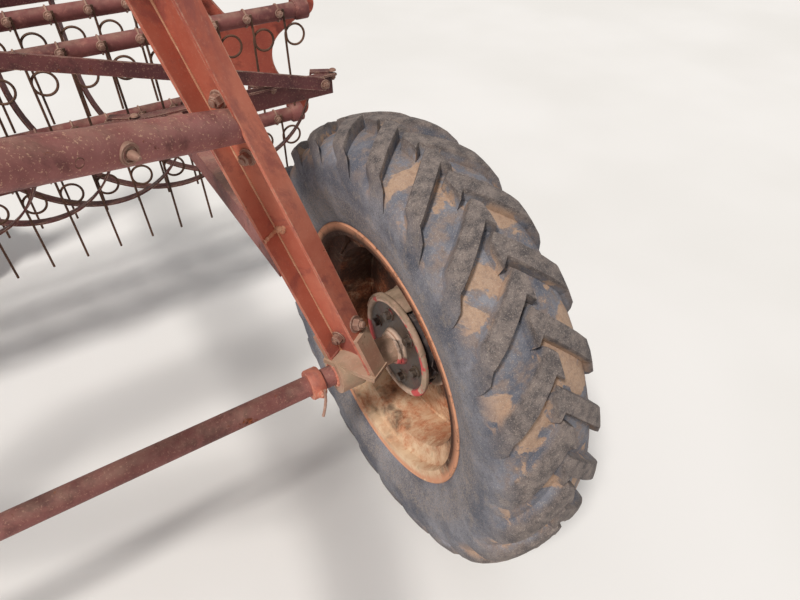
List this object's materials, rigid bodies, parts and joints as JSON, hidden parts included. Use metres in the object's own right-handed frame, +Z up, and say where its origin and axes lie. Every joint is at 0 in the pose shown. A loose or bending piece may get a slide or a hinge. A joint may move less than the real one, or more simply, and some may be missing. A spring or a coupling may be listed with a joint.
{
  "type": "side delivery rake",
  "caption": "Old trailed side delivery hay rake with an oblique parallel-bar reel, coil tines, stripper straps, two rubber-tyred wheels and a trailing tail wheel",
  "frame": {"origin": "the ground under the middle of the axle, at the centre of the rake's box", "axes": "+X to the rake's left, +Y to its rear (it is towed towards -Y), +Z up"},
  "size_m": [2.726, 3.98, 1.547],
  "materials": {
    "tyre_rubber": "dusty worn black rubber",
    "rusty_rim": "cream paint gone to rust",
    "greasy_steel": "greasy dusty iron with red patches",
    "red_paint": "faded maroon paint with rust flecks",
    "faded_paint": "weathered rusty paint",
    "tine_steel": "dark spring steel on rusty tube"
  },
  "bodies": {
    "frame": {"axle_left": "greasy_steel", "axle_right": "greasy_steel", "foot_left": "red_paint", "foot_right": "red_paint", "leg_left": "red_paint", "leg_right": "red_paint", "main_pipe_left": "red_paint", "main_pipe_right": "red_paint", "axle_tie": "red_paint", "spine": "red_paint", "cross_beam": "red_paint", "drawbar": "red_paint", "drawbar_gussets": "red_paint", "stand_pin": "red_paint", "carrier_arms": "red_paint", "hangers": "red_paint", "tail_post": "red_paint", "hitch_clevis": "red_paint", "front_rail": "faded_paint", "rear_rail": "faded_paint", "rail_braces": "faded_paint", "stripper_straps": "faded_paint", "bearing_arm_left": "faded_paint", "bearing_arm_right": "faded_paint"},
    "wheel_left": {"tyre_left": "tyre_rubber", "rim_left": "rusty_rim", "hub_left": "greasy_steel"},
    "wheel_right": {"tyre_right": "tyre_rubber", "rim_right": "rusty_rim", "hub_right": "greasy_steel"},
    "head_left": {"reel_head_left": "faded_paint"},
    "head_right": {"reel_head_right": "faded_paint", "drive_sheave": "greasy_steel"},
    "tine_bar_a": {"tine_bar_1": "tine_steel", "bar_pins_1": "tine_steel"},
    "tine_bar_b": {"tine_bar_2": "tine_steel", "bar_pins_2": "tine_steel"},
    "tine_bar_c": {"tine_bar_3": "tine_steel", "bar_pins_3": "tine_steel"},
    "tine_bar_d": {"tine_bar_4": "tine_steel", "bar_pins_4": "tine_steel"},
    "caster": {"tail_fork": "red_paint"},
    "tail_wheel": {"tail_tyre": "tyre_rubber", "tail_rim": "rusty_rim"},
    "stand": {"parking_stand": "red_paint"}
  },
  "joints": [
    {"name": "wheel_left_turn", "type": "hinge", "parent": "frame", "child": "wheel_left", "pos_m": [1.09, 0, 0.545], "axis": [1, 0, 0], "continuous": true},
    {"name": "wheel_right_turn", "type": "hinge", "parent": "frame", "child": "wheel_right", "pos_m": [-1.09, 0, 0.545], "axis": [1, 0, 0], "continuous": true},
    {"name": "reel_turn", "type": "hinge", "parent": "frame", "child": "head_left", "pos_m": [1.136, 1.02, 0.91], "axis": [0.4772, 0.8788, 0], "continuous": true},
    {"name": "reel_far_turn", "type": "hinge", "parent": "frame", "child": "head_right", "pos_m": [-1.136, 1.02, 0.91], "axis": [0.4772, 0.8788, 0], "continuous": true},
    {"name": "tine_bar_a_pivot", "type": "hinge", "parent": "head_left", "child": "tine_bar_a", "pos_m": [1.30004, 0.93094, 1.04862], "axis": [0.4772, 0.8788, 0], "continuous": true},
    {"name": "tine_bar_b_pivot", "type": "hinge", "parent": "head_left", "child": "tine_bar_b", "pos_m": [1.25782, 0.95386, 0.72335], "axis": [0.4772, 0.8788, 0], "continuous": true},
    {"name": "tine_bar_c_pivot", "type": "hinge", "parent": "head_left", "child": "tine_bar_c", "pos_m": [0.97196, 1.10906, 0.77138], "axis": [0.4772, 0.8788, 0], "continuous": true},
    {"name": "tine_bar_d_pivot", "type": "hinge", "parent": "head_left", "child": "tine_bar_d", "pos_m": [1.01418, 1.08614, 1.09665], "axis": [0.4772, 0.8788, 0], "continuous": true},
    {"name": "caster_turn", "type": "hinge", "parent": "frame", "child": "caster", "pos_m": [0, 1.69, 0.5], "axis": [0, 0, 1], "continuous": true},
    {"name": "tail_wheel_turn", "type": "hinge", "parent": "caster", "child": "tail_wheel", "pos_m": [0, 1.79, 0.2], "axis": [1, 0, 0], "continuous": true},
    {"name": "stand_swing", "type": "hinge", "parent": "frame", "child": "stand", "pos_m": [0.075, -1.5, 0.72528], "axis": [1, 0, 0], "range_deg": [0, 90]}
  ],
  "couplings": [
    {"joint": "reel_far_turn", "follows": "reel_turn", "ratio": 1},
    {"joint": "tine_bar_a_pivot", "follows": "reel_turn", "ratio": -1},
    {"joint": "tine_bar_b_pivot", "follows": "reel_turn", "ratio": -1},
    {"joint": "tine_bar_c_pivot", "follows": "reel_turn", "ratio": -1},
    {"joint": "tine_bar_d_pivot", "follows": "reel_turn", "ratio": -1}
  ]
}
